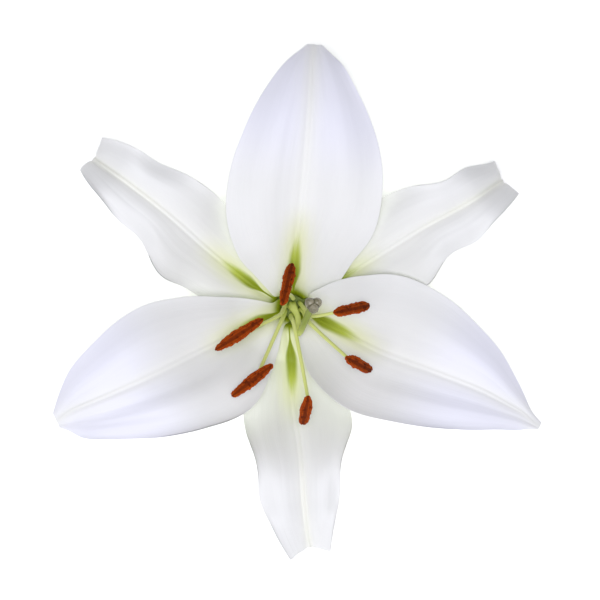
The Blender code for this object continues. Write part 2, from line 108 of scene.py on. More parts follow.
# Each tepal: the bearing of its midrib in degrees, how much nearer the left end of its tip is than the
# middle, the reach of its tip, how far the midrib bends to the left, its half-widths left and right,
# the height of the waves along those margins and where they start. A fold is a soft crease along the
# blade: its place as a share of the half-width, its depth, its width as a share, and the stations
# between which it lies. Full is how strongly the left and right halves bulge in the first half of the
# blade, raised how steeply their margins turn up, and sag how much lower the blade hangs before its
# highest place. Below 0 it stands that much higher. Sway is how far the midrib lies to the left of a
# straight line at each 20 mm of reach, and lift how much higher the left and right margins lie near
# the throat, where tepals overlap. Curl is how far the very edges of those margins curl forward, and
# nectary the reach at which the green furrow ends.
INNER_TEPALS = {
    "inner_tepal_top": {
        "bearing": 85.8, "slant": 0.0, "tip": 105.5, "bend": -1.0,
        "left": (7.7, 11.3, 16.5, 23.8, 29.2, 28.9, 25.2, 20.7, 15.3, 9.2, 3.3),
        "right": (6.9, 11.2, 17.4, 23.3, 31.1, 32.2, 29.3, 23.8, 16.7, 10.5, 4.0),
        "wave": (0.7, 0.9), "phase": (0.4, 2.2),
        "folds": ((0.30, 0.25, 0.10, 6, 12), (-0.34, 0.50, 0.15, 9, 14)),
        "full": (1.2, 1.4), "raised": (0.05, 0.0), "sag": 0.0,
        "sway": (0, 0.3, -0.8, -1.2, -0.9, 0), "lift": (0.0, -1.3),
        "curl": (0.2, 0.9), "nectary": 28.0,
    },
    "inner_tepal_lower_left": {
        "bearing": 205.2, "slant": 0.0, "tip": 105.2, "bend": 1.2,
        "left": (5.7, 9.3, 14.9, 22.6, 30.9, 29.9, 26.0, 20.4, 15.0, 9.0, 3.4),
        "right": (4.9, 7.7, 11.6, 16.5, 22.3, 25.8, 24.6, 20.5, 15.8, 9.8, 4.0),
        "wave": (1.1, 0.8), "phase": (1.3, 4.0),
        "folds": (
            (0.45, 2.2, 0.22, 8.5, 13.5), (0.32, 0.80, 0.13, 5.5, 12.5),
            (0.62, 0.35, 0.08, 8, 12.5), (-0.30, 0.25, 0.09, 7, 13),
        ),
        "full": (2.8, 1.1), "raised": (0.42, 0.05), "sag": 4.0,
        "sway": (-0.4, -0.3, 0.2, 0.6, 0, -1.2), "lift": (0.0, 0.0),
        "curl": (1.7, -0.1), "nectary": 28.0,
    },
    "inner_tepal_lower_right": {
        "bearing": 333.5, "slant": 0.0, "tip": 110.3, "bend": 1.2,
        "left": (7.6, 11.5, 17.0, 23.8, 30.8, 30.8, 26.9, 21.2, 12.3, 5.2, 2.0),
        "right": (6.5, 10.5, 16.0, 23.0, 27.0, 24.5, 20.5, 14.7, 8.7, 4.4, 1.6),
        "wave": (0.8, 1.0), "phase": (3.1, 0.2),
        "folds": ((-0.36, 0.80, 0.15, 6, 13.5), (0.34, 0.20, 0.10, 6, 12)),
        "full": (1.1, 0.4), "raised": (0.0, 0.65), "sag": 1.5,
        "sway": (0, 0.1, -0.3, 2.0, 3.6, 2.4), "lift": (1.2, 0.0),
        "curl": (0.1, 1.2), "nectary": 30.0,
    },
}
OUTER_TEPALS = {
    "outer_tepal_upper_left": {
        "bearing": 143.4, "slant": -0.7, "tip": 99.4, "bend": 0.0,
        "left": (6.1, 9.8, 14.2, 18.4, 19.9, 21.3, 14.9, 13.8, 10.8, 7.2, 6.9, 5.6, 2.8),
        "right": (5.1, 7.1, 9.5, 11.6, 15.6, 17.7, 17.4, 14.3, 13.6, 9.0, 7.0, 5.4, 2.6),
        "wave": (2.8, 2.8), "phase": (5.7, 4.75),
        "folds": ((0.45, 0.35, 0.12, 6, 12),),
        "full": (1.3, 1.0), "raised": (0.0, 0.0), "sag": 0.5,
        "sway": (1.5, 2.5, 1.8, 0, -0.6, 0), "lift": (0.0, 0.0),
        "curl": (0.8, 0.0), "nectary": 33.5,
    },
    "outer_tepal_upper_right": {
        "bearing": 30.7, "slant": 0.7, "tip": 98.3, "bend": 0.5,
        "left": (5.8, 7.4, 9.6, 11.9, 15.6, 19.1, 17.4, 12.6, 12.2, 9.0, 8.0, 6.0, 2.8),
        "right": (4.1, 6.6, 9.7, 13.2, 16.9, 20.3, 14.6, 15.3, 12.0, 8.4, 7.4, 5.8, 2.6),
        "wave": (2.5, 2.7), "phase": (2.0, 5.1),
        "folds": ((-0.45, 0.40, 0.12, 7, 12.5),),
        "full": (1.0, 1.3), "raised": (0.0, 0.0), "sag": -0.4,
        "sway": (-0.4, -0.4, 0.2, 0.6, -0.3, 0), "lift": (0.0, 0.0),
        "curl": (-0.2, 0.4), "nectary": 29.5,
    },
    "outer_tepal_bottom": {
        "bearing": 272.3, "slant": 1.2, "tip": 96.8, "bend": 3.0,
        "left": (5.0, 8.7, 12.8, 17.0, 20.7, 22.1, 17.0, 14.6, 12.1, 8.4, 7.8, 5.6, 2.6),
        "right": (5.8, 9.1, 13.5, 17.7, 21.3, 21.1, 17.7, 17.2, 13.9, 9.0, 7.4, 5.0, 2.4),
        "wave": (2.6, 2.8), "phase": (4.5, 4.3),
        "folds": ((0.5, 0.25, 0.12, 6, 11), (-0.5, 0.25, 0.12, 6, 11)),
        "full": (1.2, 1.2), "raised": (0.2, 0.1), "sag": 9.0,
        "sway": (-2.0, -1.4, -1.2, 0.6, 0.3, 0), "lift": (0.0, 0.0),
        "curl": (0.8, 0.8), "nectary": 36.0,
    },
}

# Each stamen: the bearing of its foot, the points that its filament runs through (sideways, up the
# picture, height), then the inner and outer end of its anther.
FILAMENT_FOOT = 3.25
STAMENS = {
    "top": {
        "foot": 85.8,
        "path": ((0.3, 3.2, 22), (0.2, 3.4, 31), (-0.5, 4.4, 43)),
        "anther": ((-3.8, 1.0, 69.5), (0.1, 17.8, 56.5)),
    },
    "left_upper": {
        "foot": 143.4,
        "path": ((-2.9, 1.4, 22), (-3.6, -1.0, 31), (-6.4, -4.2, 42)),
        "anther": ((-11.5, -4.8, 63.5), (-30.7, -17.3, 59.5)),
    },
    "left_lower": {
        "foot": 205.2,
        "path": ((-3.0, -1.7, 22), (-3.4, -3.4, 31), (-5.4, -8.0, 42)),
        "anther": ((-7.9, -22.9, 65.0), (-24.3, -35.7, 56.0)),
    },
    "bottom": {
        "foot": 272.3,
        "path": ((-0.4, -3.4, 22), (-0.6, -4.4, 31), (1.0, -9.0, 43)),
        "anther": ((6.3, -35.7, 69.0), (4.0, -47.3, 51.0)),
    },
    "right_lower": {
        "foot": 333.5,
        "path": ((3.2, -1.1, 22), (4.5, -2.3, 31), (7.6, -7.2, 42)),
        "anther": ((21.5, -20.1, 69.0), (31.9, -25.8, 51.0)),
    },
    "right_upper": {
        "foot": 30.7,
        "path": ((3.1, 1.2, 22), (4.6, -0.6, 31), (8.0, -3.8, 43)),
        "anther": ((16.7, -2.3, 68.0), (31.3, 0.7, 53.0)),
    },
}
ANTHER_ACROSS = 2.15  # half of an anther's width
ANTHER_DEEP = 1.85  # half of its depth
ANTHER_BOW = 0.9  # how far its ends bend back
ANTHER_BACK = 0.84  # how far behind its middle a filament meets it, as a share of ANTHER_DEEP
HELD = 0.5  # how far a filament's end reaches past that place, into the anther
STRAIGHT = 5.0  # length of a filament's last stretch, square to its anther

# The pistil: points on its middle line and its radius there.
PISTIL_PATH = ((0, 0, SEAT), (0, 0, 14), (0, -0.1, 20), (0.5, -0.9, 25.5), (2.0, -3.8, 29.5),
               (2.4, -7.8, 33.5), (2.3, -10.6, 38.5), (3.4, -9.6, 45), (5.1, -5.8, 54),
               (6.8, -1.9, 63), (8.2, 0.7, 71))
PISTIL_RADIUS = (1.7, 2.05, 2.1, 1.6, 1.2, 1.2, 1.2, 1.25, 1.3, 1.35, 1.4)
OVARY_FLUTES = 6
OVARY_TOP = 3.4  # station of the pistil's path at which the ovary has become the style
# The stigma from the middle of its face, round its lobes and under, and the receptacle from the cut
# of its stalk upwards. Each point is a radius and a height.
STIGMA_PROFILE = ((0.6, 2.5), (1.7, 2.75), (2.8, 2.4), (3.5, 1.2), (3.4, -0.3), (2.9, -1.4),
                  (2.4, -2.0))
STIGMA_UNDER = 1.6  # how far under the style's end the middle of its underside lies
STIGMA_HOLLOW = 2.2  # how far above it the middle of its face lies
STIGMA_LOBES = 3
LOBE_DEPTH = 0.26  # how far the stigma's radius dips between its lobes, as a share
RECEPTACLE_PROFILE = ((2.3, 0.9), (2.6, 1.2), (2.6, 3.0), (2.9, 4.4), (4.3, 6.0), (6.6, 7.4),
                      (7.9, 8.5), (8.1, 9.0), (7.8, SEAT - GAP))
FLUTE = 0.05  # the six shallow flutes of the receptacle, as a share of its radius

# How finely each surface is worked out: points along it, then across or round it.
BLADE_ROWS = 170
BLADE_COLUMNS = 92
MARGIN_STEPS = 4
FILAMENT_GRID = (90, 20)
ANTHER_GRID = (150, 96)
PISTIL_GRID = (200, 48)
STIGMA_GRID = (70, 120)
RECEPTACLE_GRID = (80, 108)
INSIDE = (slice(1, -1), slice(1, -1))  # all but the outermost points of a grid

# The camera: straight above, where a pixel of the 600 pixel picture covers 0.4 mm at VIEW_HEIGHT.
PICTURE = 600
PIXEL = 0.4 * MM
VIEW_HEIGHT = 40 * MM
CAMERA_RISE = 1.5  # metres above VIEW_HEIGHT
SENSOR = 36.0
VIEW_CENTRE = (3.03 * MM, 2.626 * MM)  # from the flower's axis
DAYLIGHT = (0.97, 0.975, 1.04)  # colour of every light
KEY_WIDTH = 1.2  # metres, as are the places of the two lights
KEY_PLACE = (-0.20, -0.55, 1.22)
FRONT_WIDTH = 0.4
FRONT_PLACE = (0.0, 0.0, 1.9)
FLOOR_GLOW = 0.40  # light that the floor gives off, so that it stays nearly white round the bloom


def tint(red, green, blue):
    """A display colour, 0 to 255, as the linear colour that shaders take."""
    share = np.array([red, green, blue]) / 255
    linear = np.where(share <= 0.04045, share / 12.92, ((share + 0.055) / 1.055) ** 2.4)
    return (*(float(part) for part in linear), 1.0)


def colour_property(name, description, default):
    """A colour that a user may change."""
    return bpy.props.FloatVectorProperty(
        name=name, description=description, default=default, size=4, min=0.0, max=1.0, subtype="COLOR"
    )


class LilySizes(bpy.types.PropertyGroup):
    """The sizes of the pieces, in metres"""

    blade: bpy.props.FloatProperty(
        name="Blade", description="Thickness of a tepal between its rib and its margin",
        default=0.95 * MM, min=0.0, unit="LENGTH",
    )
    margin: bpy.props.FloatProperty(
        name="Margin", description="Thickness of a tepal at its margin",
        default=0.36 * MM, min=0.0, unit="LENGTH",
    )
    rib: bpy.props.FloatProperty(
        name="Rib", description="How far the midrib stands out behind a tepal",
        default=0.70 * MM, min=0.0, unit="LENGTH",
    )
    pleat: bpy.props.FloatProperty(
        name="Pleat", description="Height of the fine pleats that run along a tepal",
        default=0.02 * MM, min=0.0, unit="LENGTH",
    )
    filament: bpy.props.FloatProperty(
        name="Filament", description="Radius of a filament in the middle of its length",
        default=0.85 * MM, min=0.0, unit="LENGTH",
    )
    grain: bpy.props.FloatProperty(
        name="Pollen", description="How far the pollen's lumps stand out of an anther",
        default=0.34 * MM, min=0.0, unit="LENGTH",
    )


class LilyColours(bpy.types.PropertyGroup):
    """The colours of the pieces and the floor"""

    # Painted highlight tint: an inner tepal's far half is cool white, and near the throat it is the neutral
    # white of shade.
    blade: colour_property("Blade", "The cool white of an inner tepal's outer half", tint(240, 240, 251))
    outer: colour_property("Outer blade", "The white of an outer tepal's outer half", tint(240, 240, 238))
    # Painted shade: an outer tepal's lower half is greyer where the inner tepals overlap and shade it.
    outer_near_shade: colour_property(
        "Outer base", "The white of an outer tepal's lower half", tint(231, 231, 227)
    )
    near: colour_property(
        "Near the throat", "The neutral white of an inner tepal's lower half", tint(238, 238, 236)
    )
    warm: colour_property("Warm white", "The white beside the midrib", tint(246, 246, 241))
    cream: colour_property("Cream", "The line along the midrib", tint(238, 238, 218))
    halo: colour_property("Halo", "The pale yellow green round a nectary furrow", tint(229, 232, 182))
    lime: colour_property("Lime", "The outer end of a nectary furrow", tint(186, 199, 80))
    olive: colour_property("Olive", "The nectary furrow near the throat", tint(136, 150, 22))
    throat: colour_property("Throat", "The bases of the tepals, deep in the throat", tint(174, 190, 28))
    behind: colour_property("Back", "The greenish white behind a tepal", tint(232, 236, 222))
    keel: colour_property("Keel", "The green of the rib behind a tepal", tint(176, 192, 120))
    filament: colour_property("Filament", "The pale green of the filaments", tint(222, 230, 140))
    filament_foot: colour_property(
        "Filament foot", "The filaments' green in the throat", tint(226, 234, 122)
    )
    pollen: colour_property("Pollen", "The rust brown of the anthers", tint(174, 69, 5))
    # Painted highlight: the lighter rust put on the raised lumps of pollen.
    pollen_highlight: colour_property("Light pollen", "The grains that catch the light", tint(204, 99, 16))
    # Also used for the painted shade in the dips between the pollen's lumps.
    furrow: colour_property("Furrow", "The dark furrows of the anthers", tint(98, 34, 3))
    ovary: colour_property("Ovary", "The ovary and the lower style", tint(222, 231, 134))
    style: colour_property("Style", "The style's upper part", tint(140, 156, 52))
    stigma: colour_property("Stigma", "The grey of the stigma's lobes", tint(162, 155, 130))
    # Also used for the painted shade in the dips between the stigma's papillae.
    stigma_dark: colour_property("Stigma slits", "The slits between the lobes", tint(88, 84, 50))
    receptacle: colour_property("Receptacle", "The green of the receptacle and stalk", tint(150, 176, 84))
    cut: colour_property("Cut", "The pale pith of the cut stalk", tint(214, 222, 178))
    floor: colour_property("Floor", "The plain pale floor", tint(252, 252, 252))


class LilyStage(bpy.types.PropertyGroup):
    """The lights and the floor"""

    sky: bpy.props.FloatProperty(
        name="Sky", description="Strength of the even light", default=0.18, min=0.0
    )
    key: bpy.props.FloatProperty(
        name="Key light", description="Power of the large soft light", default=10.3, min=0.0, unit="POWER"
    )
    front: bpy.props.FloatProperty(
        name="Front light", description="Power of the soft light above the camera",
        default=12.2, min=0.0, unit="POWER",
    )
    floor: bpy.props.FloatProperty(
        name="Floor", description="Width of the floor", default=6.0, min=0.0, unit="LENGTH"
    )


class LilySettings(bpy.types.PropertyGroup):
    """All that a user may change"""

    sizes: bpy.props.PointerProperty(type=LilySizes)
    colours: bpy.props.PointerProperty(type=LilyColours)
    stage: bpy.props.PointerProperty(type=LilyStage)


def spline(points, t):
    """Values at station t of the Catmull-Rom curve through the points, which are stations 0, 1, 2..."""
    points = np.asarray(points, float)
    last = len(points) - 1
    k = np.clip(np.floor(t).astype(int), 0, last - 1)
    f = (t - k).reshape(*np.shape(t), *[1] * (points.ndim - 1))
    a = points[np.maximum(k - 1, 0)]
    b = points[k]
    c = points[k + 1]
    d = points[np.minimum(k + 2, last)]
    return 0.5 * (2 * b + (c - a) * f + (2 * a - 5 * b + 4 * c - d) * f**2 + (3 * b - a - 3 * c + d) * f**3)


def rising(t, start, end):
    """0 before start, 1 after end, smooth between."""
    f = np.clip((t - start) / (end - start), 0, 1)
    return f * f * (3 - 2 * f)


def unit(vectors):
    """The vectors brought to length 1."""
    return vectors / np.maximum(np.linalg.norm(vectors, axis=-1, keepdims=True), 1e-12)


def lumps(points, size, seed):
    """Smooth noise from -1 to 1: seeded random values on a lattice of the given size, blended between."""
    table = np.random.default_rng(seed).uniform(-1, 1, (LATTICE, LATTICE, LATTICE))
    place = points / size
    cell = np.floor(place).astype(int)
    f = place - cell
    f = f * f * (3 - 2 * f)
    total = 0
    for corner in np.ndindex(2, 2, 2):
        weight = np.prod(np.where(corner, f, 1 - f), axis=-1)
        index = (cell + corner) % LATTICE
        total = total + weight * table[index[..., 0], index[..., 1], index[..., 2]]
    return total


def normals_of(grid):
    """Unit normals of a grid of points, from the steps along its rows and its columns."""
    return unit(np.cross(np.gradient(grid, axis=0), np.gradient(grid, axis=1)))


def quads(number):
    """The faces of a grid whose points have these numbers."""
    corners = (number[:-1, :-1], number[1:, :-1], number[1:, 1:], number[:-1, 1:])
    return np.stack([corner.ravel() for corner in corners], axis=1)


def by_side(pair, v):
    """The left value of a pair where v is above 0, and the right one elsewhere."""
    return np.where(v > 0, pair[0], pair[1])


def blade_lines(tepal, form):
    """Where the rows and columns of a tepal lie, and how its thickness closes round its rim.

    Rows stand at even stations t. Columns stand at share v of the half-width, above 0 on the left: an
    even step q times 0.8 plus 0.2 q squared, which sets them closer near the midrib. The midrib sways
    to the left while the margins stay, so its sway comes off the left half-width and goes onto the
    right one. The rim has a few rows and columns more, one less the sine of an even turn away from the
    edge. There the profile is the cosine of that turn, so the thickness closes as a half circle.
    """
    last = len(form["reach"]) - 1
    turn = np.linspace(0, math.pi / 2, MARGIN_STEPS + 1)[1:]
    rim = END * (1 - np.sin(turn))
    t = np.concatenate([rim[::-1], np.linspace(END, last - END, BLADE_ROWS), last - rim])[:, None]
    closing = np.concatenate([np.cos(turn[::-1]), np.ones(BLADE_ROWS), np.cos(turn)])[:, None]
    reach = spline(form["reach"], t)
    sway = spline(tepal["sway"], np.clip(reach / 20, 0, 5)) * (1 - rising(t, last - 1.5, last))
    sway = sway * rising(t, 0.5, 2.5)
    left = spline(form["base"] + tepal["left"], t) - sway
    right = spline(form["base"] + tepal["right"], t) + sway
    q = np.linspace(-1, 1, BLADE_COLUMNS)[None, :]
    q = q * (0.80 + 0.20 * q**2)
    v = np.concatenate([
        -1 + LIP / right * (1 - np.sin(turn[::-1])),
        q * np.where(q > 0, 1 - LIP / left, 1 - LIP / right),
        1 - LIP / left * (1 - np.sin(turn)),
    ], axis=1)
    profile = np.concatenate([np.cos(turn[::-1]), np.ones(BLADE_COLUMNS), np.cos(turn)])[None, :]
    profile = profile * closing
    profile = np.where(profile < 1e-9, 0, profile)
    side = v * np.where(v > 0, left, right)
    return t, reach, v, side, sway, profile


def blade_middle(tepal, form, lines):
    """The middle surface of a tepal before its relief, and the reach of each of its rows.

    The form's reach is stretched to the tepal's own tip. A point lies to the left of the bearing by
    its distance from the midrib, the sway, and the bend, which grows as the fourth power of the reach.
    Near the throat a row is an arc round the flower's axis, and this fades as 1 over 1 plus the sixth
    power of the reach over SWEEP. The slant grows as v times the eighth power of the reach.
    The height is the form's, plus rise times v squared, plus bulge times the squared sine of pi v,
    times full in the first half of the blade, plus raised times the distance times v over 2, less
    sag, plus lift. The last three fade in and out along the blade. The foot is sunk into the
    receptacle.
    """
    t, reach, v, side, sway, _ = lines
    last = len(form["reach"]) - 1
    longest = max(form["reach"])
    bend = tepal["bend"] * (reach / longest) ** 4
    r = reach * (1 + (tepal["tip"] / longest - 1) * (reach / longest) ** 2)
    turned = np.clip((side + sway) / r, -0.97, 0.97)
    sweep = 1 / (1 + (r / SWEEP) ** 6)
    out = r - sweep * r * (1 - np.sqrt(1 - turned**2)) - tepal["slant"] * v * (r / longest) ** 8
    up = spline(form["height"], t) + spline(form["rise"], t) * v**2
    full = 1 + (by_side(tepal["full"], v) - 1) * (1 - rising(t, 6.5, 9.5))
    up = up + full * spline(form["bulge"], t) * np.sin(math.pi * v) ** 2
    raised = by_side(tepal["raised"], v) * np.abs(side * v) / 2
    up = up + raised * (rising(t, 4, 7) * (1 - rising(t, last - 2.2, last - 0.8)))
    up = up - tepal["sag"] * rising(r, 8, 24) * (1 - rising(r, 34, 70))
    lift = by_side(tepal["lift"], v) * rising(np.abs(v), 0.3, 0.9)
    up = up + lift * (rising(t, 2, 3.5) * (1 - rising(t, 5, 7)))
    up = up - SUNK * (1 - rising(t, 0, 0.8))
    bearing = math.radians(tepal["bearing"])
    across = side + bend + sway
    x = out * math.cos(bearing) - across * math.sin(bearing)
    y = out * math.sin(bearing) + across * math.cos(bearing)
    return np.stack([x, y, up], axis=-1), r


def blade_relief(tepal, form, lines, pleat_height):
    """How far each point of a tepal's middle surface moves forward along the normal.

    The waves are a sine of the station times the third power of v. The groove is a bell of the
    distance from the midrib, less a narrower one for the ridge in it. The channel grows as the power
    1.5 of v and the curl as the seventh. The corners of the tip bend back as the tenth power. A fold
    is a bell of v less half of one twice as wide. The pleats are a cosine of v to the power 0.9.
    """
    t, reach, v, side, _, _ = lines
    last = len(form["reach"]) - 1
    groove = np.exp(-((side / GROOVE_WIDTH) ** 2)) - RIDGE * np.exp(-((side / RIDGE_WIDTH) ** 2))
    phase = 2 * math.pi * form["waves"] * t / last
    wave_left = tepal["wave"][0] * np.sin(phase + tepal["phase"][0])
    wave_right = tepal["wave"][1] * np.sin(phase + tepal["phase"][1])
    wave = np.where(v > 0, wave_left, wave_right) * np.abs(v) ** 3
    wave = wave * rising(t, 5, 8.5) * (1 - rising(t, last - 2.5, last - 0.5))
    moved = wave - spline(form["groove"], t) * groove
    moved = moved + spline(form["channel"], t) * np.abs(v) ** 1.5
    curl = by_side(tepal["curl"], v) * np.abs(v) ** 7
    tipward = rising(reach / max(form["reach"]), 0.90, 0.99)
    moved = moved + curl * rising(t, 4, 7) * (1 - tipward) - CORNER * np.abs(v) ** 10 * tipward
    for place, depth, width, start, stop in tepal["folds"]:
        away = v - place
        crease = np.exp(-((away / width) ** 2)) - 0.5 * np.exp(-((away / (2 * width)) ** 2))
        moved = moved - depth * crease * rising(t, start, start + 2) * (1 - rising(t, stop - 2, stop))
    pleat = pleat_height * np.cos(2 * math.pi * PLEATS * np.abs(v) ** 0.9) * rising(t, 3, 6)
    return moved + pleat * (1 - rising(t, last - 2, last)) * (1 - np.abs(v) ** 6)


def closed_skin(front, back):
    """Front and back as one closed skin. They share the outermost points, which the front gives."""
    rows, columns = front.shape[:2]
    inner = (rows - 2, columns - 2)
    number = np.arange(rows * columns).reshape(rows, columns)
    number_behind = number.copy()
    number_behind[INSIDE] = rows * columns + np.arange(math.prod(inner)).reshape(inner)
    points = np.concatenate([front.reshape(-1, 3), back[INSIDE].reshape(-1, 3)])
    return points, np.concatenate([quads(number), quads(number_behind)[:, ::-1]])


def blade_surface(tepal, form, sizes):
    """The closed skin of one tepal, with what its material reads at each point.

    Front and back lie half the thickness before and behind the middle surface. The thickness goes
    from the blade's to the margin's as the fourth power of v, and the rib, a bell of the distance from
    the midrib, stands out behind. A tip's face lower than PRESSED is laid flat on the floor.
    """
    lines = blade_lines(tepal, form)
    t, _, v, side, _, profile = lines
    last = len(form["reach"]) - 1
    middle, r = blade_middle(tepal, form, lines)
    normal = normals_of(middle)
    moved = blade_relief(tepal, form, lines, sizes.pleat / MM)
    middle = middle + normal * moved[..., None]

    blade = sizes.blade / MM
    margin = sizes.margin / MM
    half = (blade + (margin - blade) * v**4) / 2 + 0 * t
    rib = np.exp(-((side / RIB_WIDTH) ** 2))
    behind = half + sizes.rib / MM * rib * (1 - rising(t, last - 4, last - 0.5)) * rising(t, 1, 4)
    front = middle + normal * (half * profile)[..., None]
    back = middle - normal * (behind * profile)[..., None]
    pressed = front[..., 2] < PRESSED
    front[..., 2] = np.where(pressed, 0, front[..., 2])
    back[..., 2] = np.where(pressed, np.maximum(back[..., 2], margin * profile), back[..., 2])

    grids = {
        "reach": r + 0 * v,
        "station": t + 0 * v,
        "past": r - tepal["nectary"] + 0 * v,
        "across": side,
        "share": v,
    }
    values = {key: np.concatenate([grid.ravel(), grid[INSIDE].ravel()]) for key, grid in grids.items()}
    facing = np.where(profile > 0, 1.0, 0.5)
    values["front"] = np.concatenate([facing.ravel(), 0 * facing[INSIDE].ravel()])
    return *closed_skin(front, back), values


def frames_along(path):
    """For each point of a path, its direction and two directions across it that hardly twist."""
    along = unit(np.gradient(path, axis=0))
    first = np.zeros_like(along)
    across = np.cross(along[0], (0.0, 1.0, 0.0))
    for k, direction in enumerate(along):
        across = across - direction * (across @ direction)
        across = across / np.linalg.norm(across)
        first[k] = across
    return along, first, np.cross(along, first)


def ringed_surface(rings, start, end):
    """The closed skin through rings of equally many points, with a point at each end."""
    count, around = rings.shape[:2]
    points = np.concatenate([rings.reshape(-1, 3), [start, end]])
    number = np.arange(count * around).reshape(count, around)
    number = np.concatenate([number, number[:, :1]], axis=1)
    first = np.full(around, count * around)
    last = first + 1
    sides = quads(number)[:, [0, 3, 2, 1]]
    caps = [
        np.stack([first, number[0, 1:], number[0, :-1]], 1),
        np.stack([last, number[-1, :-1], number[-1, 1:]], 1),
    ]
    return points, sides.tolist() + np.concatenate(caps).tolist()


def ring_values(values, start=0, end=0):
    """A value for each point of a ringed surface, from those of its rings and of its two ends."""
    return np.concatenate([values.ravel(), [start, end]])


def tube_rings(path, radius):
    """Rings round a path. The radius is (points of the path, points round it)."""
    _, first, second = frames_along(path)
    angle = np.linspace(0, 2 * math.pi, radius.shape[1], endpoint=False)
    ring = np.cos(angle)[None, :, None] * first[:, None] + np.sin(angle)[None, :, None] * second[:, None]
    return path[:, None] + ring * radius[..., None]


def anther_axes(stamen):
    """Directions along an anther, across it, and out of its face."""
    inner, outer = np.array(stamen["anther"], float)
    along = unit(outer - inner)
    across = unit(np.cross((0.0, 0.0, 1.0), along))
    return along, across, np.cross(along, across)


def filament_surface(stamen, sizes):
    """A slender stalk along a smooth path from the receptacle to the back of its anther.

    Its radius tapers from foot to tip, and its section is a little wider than deep.
    """
    foot = math.radians(stamen["foot"])
    x = FILAMENT_FOOT * math.cos(foot)
    y = FILAMENT_FOOT * math.sin(foot)
    inner, outer = np.array(stamen["anther"])
    _, _, face = anther_axes(stamen)
    held = (inner + outer) / 2 - face * (ANTHER_DEEP * ANTHER_BACK - HELD)
    before = held - face * STRAIGHT
    points = [(x, y, SEAT), (1.02 * x, 1.02 * y, 15), *stamen["path"], before, held]
    t = np.linspace(0, len(points) - 1, FILAMENT_GRID[0])
    path = spline(points, t)
    path[:, 2] = path[:, 2] - SUNK * (1 - rising(t, 0, 0.5))
    middle = sizes.filament / MM
    taper = np.interp(t / t[-1], (0, 0.1, 0.5, 0.9, 1), (0.78, 0.80, middle, 0.62, 0.35))
    angle = np.linspace(0, 2 * math.pi, FILAMENT_GRID[1], endpoint=False)
    radius = taper[:, None] * (1 + 0.06 * np.cos(2 * angle))[None, :]
    points, faces = ringed_surface(tube_rings(path, radius), path[0], path[-1])
    along = (t / t[-1])[:, None] + 0 * radius
    return points, faces, {"along": ring_values(along, 0, 1)}


def anther_surface(stamen, number, sizes):
    """A long pollen sac: two ridges with a furrow before and behind, ends rounded, a little bowed.

    Each ridge has a shallow slit of its own. Lumps of pollen, as seeded noise at three sizes, stand
    out along the normal, more on the ridges than in the furrows.
    """
    inner, outer = np.array(stamen["anther"], float)
    along, across, face = anther_axes(stamen)
    half_length = np.linalg.norm(outer - inner) / 2
    rows, columns = ANTHER_GRID
    s = np.sin(np.linspace(-1, 1, rows) * math.pi / 2 * 0.985)[:, None]
    angle = np.linspace(0, 2 * math.pi, columns, endpoint=False)[None, :]
    fullness = (1 - np.abs(s) ** 3.2) ** 0.6 * (1 + 0.07 * np.sin(5 * s + number))
    furrow = np.exp(-(((np.abs(np.sin(angle)) - 1) / 0.10) ** 2))
    slits = np.exp(-(((np.abs(np.cos(angle)) - 0.62) / 0.09) ** 2)) * (np.sin(angle) > 0)
    wide = ANTHER_ACROSS * fullness * np.cos(angle)
    deep = ANTHER_DEEP * fullness * np.sin(angle) * (1 - 0.30 * furrow - 0.10 * slits)
    bow = ANTHER_BOW * s**2
    middle = (inner + outer) / 2
    rings = (
        middle
        + along * (s * half_length)[..., None]
        + across * wide[..., None]
        + face * (deep - bow)[..., None]
    )
    wrapped = np.concatenate([rings[:, -1:], rings, rings[:, :1]], axis=1)
    normal = -normals_of(wrapped)[:, 1:-1]
    seed = SEED + 10 * number
    grain = 0.8 * lumps(rings, 1.2, seed) + 0.5 * lumps(rings, 0.5, seed + 1)
    grain = grain + 0.35 * lumps(rings, 0.28, seed + 2)
    dark = furrow + 0.8 * slits
    height = sizes.grain / MM * grain * (1 - 0.5 * furrow) * rising(fullness, 0.0, 0.5)
    rings = rings + normal * height[..., None]
    start = middle - along * half_length - face * ANTHER_BOW
    end = middle + along * half_length - face * ANTHER_BOW
    points, faces = ringed_surface(rings, start, end)
    return points, faces, {"furrow": ring_values(dark + 0 * s), "grain": ring_values(grain)}


def pistil_surface():
    """Ovary and style in one skin round a smooth path: six flutes fade out where the ovary narrows.

    The style that follows is faintly three-sided.
    """
    t = np.linspace(0, len(PISTIL_PATH) - 1, PISTIL_GRID[0])
    path = spline(PISTIL_PATH, t)
    path[:, 2] = path[:, 2] - SUNK * (1 - rising(t, 0, 0.5))
    radius = spline(PISTIL_RADIUS, t)[:, None]
    angle = np.linspace(0, 2 * math.pi, PISTIL_GRID[1], endpoint=False)[None, :]
    ovary = 1 - rising(t[:, None], OVARY_TOP - 1, OVARY_TOP)
    shape = 1 + 0.09 * ovary * np.cos(OVARY_FLUTES * angle) + 0.035 * (1 - ovary) * np.cos(3 * angle)
    points, faces = ringed_surface(tube_rings(path, radius * shape), path[0], path[-1])
    along = (t / t[-1])[:, None] + 0 * shape
    return points, faces, {"along": ring_values(along, 0, 1)}


